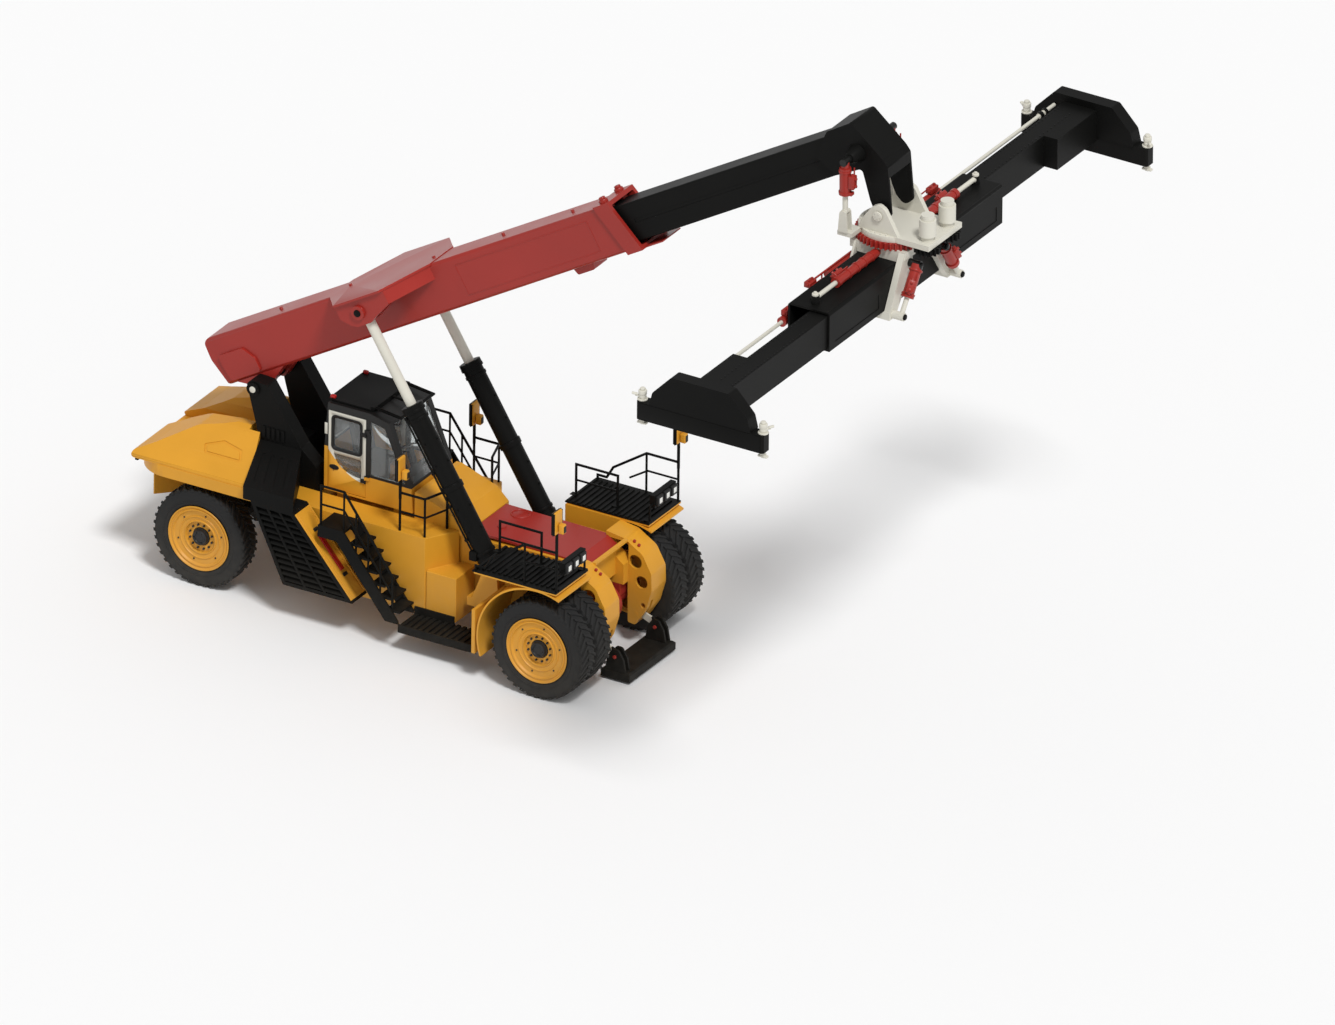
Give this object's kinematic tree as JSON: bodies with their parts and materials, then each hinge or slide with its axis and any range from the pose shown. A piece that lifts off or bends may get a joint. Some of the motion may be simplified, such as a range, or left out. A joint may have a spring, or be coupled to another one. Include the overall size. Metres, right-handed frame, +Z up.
{
  "type": "reach stacker",
  "caption": "Wheeled container reach stacker: rear-pivoted telescopic boom on lift cylinders, slewing spreader with telescopic beams and twistlocks, cab, counterweight.",
  "frame": {"origin": "on the ground, under the middle of the machine's overall length and width", "axes": "+X towards the boom's head, +Y to the machine's left, +Z up"},
  "size_m": [14.705, 12.2, 10.9961],
  "materials": {
    "yellow_paint": "semi-gloss",
    "red_paint": "semi-gloss",
    "black_paint": "satin",
    "white_paint": "semi-gloss",
    "cast_grey": "matt",
    "rod_white": "semi-gloss",
    "tyre": "matt",
    "glass": "clear",
    "seat_cloth": "matt",
    "console_plastic": "matt"
  },
  "bodies": {
    "chassis": {"chassis_frame": "yellow_paint", "counterweight": "yellow_paint", "side_bodies": "yellow_paint", "hood": "yellow_paint", "front_deck": "red_paint", "nose_arches": "yellow_paint", "boom_towers": "black_paint", "boom_pin": "red_paint", "louvre_panels": "black_paint", "stairs": "black_paint", "running_boards": "black_paint", "front_fenders": "yellow_paint", "fender_platforms": "black_paint", "platform_guards": "black_paint", "ledge_rails": "black_paint", "cab_shell": "yellow_paint", "cab_roof": "black_paint", "cab_glass": "glass", "seat": "seat_cloth", "console": "console_plastic", "front_axle": "red_paint", "rear_axle": "cast_grey"},
    "front_wheels_right": {"front_wheels_right": "tyre"},
    "front_wheels_left": {"front_wheels_left": "tyre"},
    "knuckle_right": {"knuckle_right": "cast_grey"},
    "knuckle_left": {"knuckle_left": "cast_grey"},
    "rear_wheel_right": {"rear_wheel_right": "tyre"},
    "rear_wheel_left": {"rear_wheel_left": "tyre"},
    "support_foot": {"support_foot": "black_paint"},
    "cab_door_right": {"cab_door_right": "yellow_paint"},
    "cab_door_left": {"cab_door_left": "yellow_paint"},
    "boom_outer": {"boom_outer": "red_paint"},
    "boom_inner": {"boom_inner": "black_paint", "boom_head": "black_paint"},
    "lift_barrel_right": {"lift_barrel_right": "black_paint"},
    "lift_barrel_left": {"lift_barrel_left": "black_paint"},
    "lift_rod_right": {"lift_rod_right": "rod_white"},
    "lift_rod_left": {"lift_rod_left": "rod_white"},
    "rotator": {"rotator_frame": "white_paint", "slew_motors": "white_paint"},
    "pinion_right": {"pinion_right": "black_paint"},
    "pinion_left": {"pinion_left": "black_paint"},
    "damper_barrel_right": {"damper_barrel_right": "red_paint"},
    "damper_barrel_left": {"damper_barrel_left": "red_paint"},
    "damper_rod_right": {"damper_rod_right": "rod_white"},
    "damper_rod_left": {"damper_rod_left": "rod_white"},
    "saddle": {"ring_gear": "red_paint", "saddle": "white_paint", "slope_cylinders": "red_paint", "shift_cylinders": "red_paint"},
    "spreader": {"spreader_beam": "black_paint", "telescope_cylinders": "red_paint"},
    "telescopic_beam_right": {"telescopic_beam_right": "black_paint"},
    "telescopic_beam_left": {"telescopic_beam_left": "black_paint"},
    "twistlock_front_right": {"twistlock_front_right": "white_paint"},
    "twistlock_rear_right": {"twistlock_rear_right": "white_paint"},
    "twistlock_front_left": {"twistlock_front_left": "white_paint"},
    "twistlock_rear_left": {"twistlock_rear_left": "white_paint"}
  },
  "joints": [
    {"name": "front_wheel_roll_right", "type": "hinge", "parent": "chassis", "child": "front_wheels_right", "pos_m": [0.6875, -1.43, 0.86], "axis": [0, 1, 0], "continuous": true},
    {"name": "front_wheel_roll_left", "type": "hinge", "parent": "chassis", "child": "front_wheels_left", "pos_m": [0.6875, 1.43, 0.86], "axis": [0, 1, 0], "continuous": true},
    {"name": "steer_left", "type": "hinge", "parent": "chassis", "child": "knuckle_left", "pos_m": [-5.9625, 0.72, 0.86], "axis": [0, 0, 1], "range_deg": [-45, 45]},
    {"name": "steer_right", "type": "hinge", "parent": "chassis", "child": "knuckle_right", "pos_m": [-5.9625, -0.72, 0.86], "axis": [0, 0, 1], "range_deg": [-45, 45]},
    {"name": "rear_wheel_roll_right", "type": "hinge", "parent": "knuckle_right", "child": "rear_wheel_right", "pos_m": [-5.9625, -1.165, 0.86], "axis": [0, 1, 0], "continuous": true},
    {"name": "rear_wheel_roll_left", "type": "hinge", "parent": "knuckle_left", "child": "rear_wheel_left", "pos_m": [-5.9625, 1.165, 0.86], "axis": [0, 1, 0], "continuous": true},
    {"name": "foot_swing", "type": "hinge", "parent": "chassis", "child": "support_foot", "pos_m": [1.0775, 0, 0.59], "axis": [0, -1, 0], "range_deg": [-3, 35]},
    {"name": "cab_door_swing_right", "type": "hinge", "parent": "chassis", "child": "cab_door_right", "pos_m": [-3.2995, -0.66, 2.69], "axis": [0, 0, 1], "range_deg": [0, 90]},
    {"name": "cab_door_swing_left", "type": "hinge", "parent": "chassis", "child": "cab_door_left", "pos_m": [-3.2995, 0.66, 2.69], "axis": [0, 0, -1], "range_deg": [0, 90]},
    {"name": "boom_lift", "type": "hinge", "parent": "chassis", "child": "boom_outer", "pos_m": [-5.3925, 0, 3.4], "axis": [0, 1, 0], "range_deg": [-29, 25]},
    {"name": "boom_extend", "type": "slide", "parent": "boom_outer", "child": "boom_inner", "axis": [0.8599, 0, 0.5105], "range_m": [-4, 2.6]},
    {"name": "lift_barrel_tilt_right", "type": "hinge", "parent": "chassis", "child": "lift_barrel_right", "pos_m": [-0.6925, -0.9, 1.45], "axis": [0, 1, 0], "range_deg": [-6, 5]},
    {"name": "lift_rod_stroke_right", "type": "slide", "parent": "lift_barrel_right", "child": "lift_rod_right", "axis": [-0.5249, 0, 0.8511], "range_m": [-1.35, 1.55]},
    {"name": "lift_barrel_tilt_left", "type": "hinge", "parent": "chassis", "child": "lift_barrel_left", "pos_m": [-0.6925, 0.9, 1.45], "axis": [0, 1, 0], "range_deg": [-6, 5]},
    {"name": "lift_rod_stroke_left", "type": "slide", "parent": "lift_barrel_left", "child": "lift_rod_left", "axis": [-0.5249, 0, 0.8511], "range_m": [-1.35, 1.55]},
    {"name": "spreader_level", "type": "hinge", "parent": "boom_inner", "child": "rotator", "pos_m": [6.1375, 0, 9.57], "axis": [0, 1, 0], "range_deg": [-25, 29]},
    {"name": "damper_barrel_tilt_right", "type": "hinge", "parent": "boom_inner", "child": "damper_barrel_right", "pos_m": [5.6375, -0.72, 10.5], "axis": [0, 1, 0], "range_deg": [-4, 4]},
    {"name": "damper_rod_stroke_right", "type": "slide", "parent": "damper_barrel_right", "child": "damper_rod_right", "axis": [0.0112, 0, -0.9999], "range_m": [-0.25, 0.25]},
    {"name": "damper_barrel_tilt_left", "type": "hinge", "parent": "boom_inner", "child": "damper_barrel_left", "pos_m": [5.6375, 0.72, 10.5], "axis": [0, 1, 0], "range_deg": [-4, 4]},
    {"name": "damper_rod_stroke_left", "type": "slide", "parent": "damper_barrel_left", "child": "damper_rod_left", "axis": [0.0112, 0, -0.9999], "range_m": [-0.25, 0.25]},
    {"name": "slew", "type": "hinge", "parent": "rotator", "child": "saddle", "pos_m": [6.1625, 0, 9.27], "axis": [0, 0, 1], "range_deg": [-45, 70]},
    {"name": "pinion_spin_right", "type": "hinge", "parent": "rotator", "child": "pinion_right", "pos_m": [6.9425, -0.305, 9.2], "axis": [0, 0, 1], "range_deg": [-225, 145]},
    {"name": "pinion_spin_left", "type": "hinge", "parent": "rotator", "child": "pinion_left", "pos_m": [6.9425, 0.305, 9.2], "axis": [0, 0, 1], "range_deg": [-225, 145]},
    {"name": "side_shift", "type": "slide", "parent": "saddle", "child": "spreader", "axis": [0, 1, 0], "range_m": [-0.5, 0.5]},
    {"name": "telescope_right", "type": "slide", "parent": "spreader", "child": "telescopic_beam_right", "axis": [0, 1, 0], "range_m": [0, 3.067]},
    {"name": "telescope_left", "type": "slide", "parent": "spreader", "child": "telescopic_beam_left", "axis": [0, -1, 0], "range_m": [0, 3.067]},
    {"name": "twistlock_turn_front_right", "type": "hinge", "parent": "telescopic_beam_right", "child": "twistlock_front_right", "pos_m": [7.292, -5.9925, 8], "axis": [0, 0, 1], "range_deg": [0, 90]},
    {"name": "twistlock_turn_rear_right", "type": "hinge", "parent": "telescopic_beam_right", "child": "twistlock_rear_right", "pos_m": [5.033, -5.9925, 8], "axis": [0, 0, 1], "range_deg": [0, 90]},
    {"name": "twistlock_turn_front_left", "type": "hinge", "parent": "telescopic_beam_left", "child": "twistlock_front_left", "pos_m": [7.292, 5.9925, 8], "axis": [0, 0, 1], "range_deg": [0, 90]},
    {"name": "twistlock_turn_rear_left", "type": "hinge", "parent": "telescopic_beam_left", "child": "twistlock_rear_left", "pos_m": [5.033, 5.9925, 8], "axis": [0, 0, 1], "range_deg": [0, 90]}
  ],
  "couplings": [
    {"joint": "steer_right", "follows": "steer_left", "ratio": 1},
    {"joint": "lift_barrel_tilt_right", "follows": "boom_lift", "ratio": 0.16},
    {"joint": "lift_rod_stroke_right", "follows": "boom_lift", "m_per_rad": -3.008},
    {"joint": "lift_barrel_tilt_left", "follows": "boom_lift", "ratio": 0.16},
    {"joint": "lift_rod_stroke_left", "follows": "boom_lift", "m_per_rad": -3.008},
    {"joint": "spreader_level", "follows": "boom_lift", "ratio": -1},
    {"joint": "damper_barrel_tilt_right", "follows": "boom_lift", "ratio": 0.1},
    {"joint": "damper_rod_stroke_right", "follows": "boom_lift", "m_per_rad": 0.465},
    {"joint": "damper_barrel_tilt_left", "follows": "boom_lift", "ratio": 0.1},
    {"joint": "damper_rod_stroke_left", "follows": "boom_lift", "m_per_rad": 0.465},
    {"joint": "pinion_spin_right", "follows": "slew", "ratio": -3.2},
    {"joint": "pinion_spin_left", "follows": "slew", "ratio": -3.2},
    {"joint": "telescope_left", "follows": "telescope_right", "ratio": 1},
    {"joint": "twistlock_turn_rear_right", "follows": "twistlock_turn_front_right", "ratio": 1},
    {"joint": "twistlock_turn_front_left", "follows": "twistlock_turn_front_right", "ratio": 1},
    {"joint": "twistlock_turn_rear_left", "follows": "twistlock_turn_front_right", "ratio": 1}
  ]
}
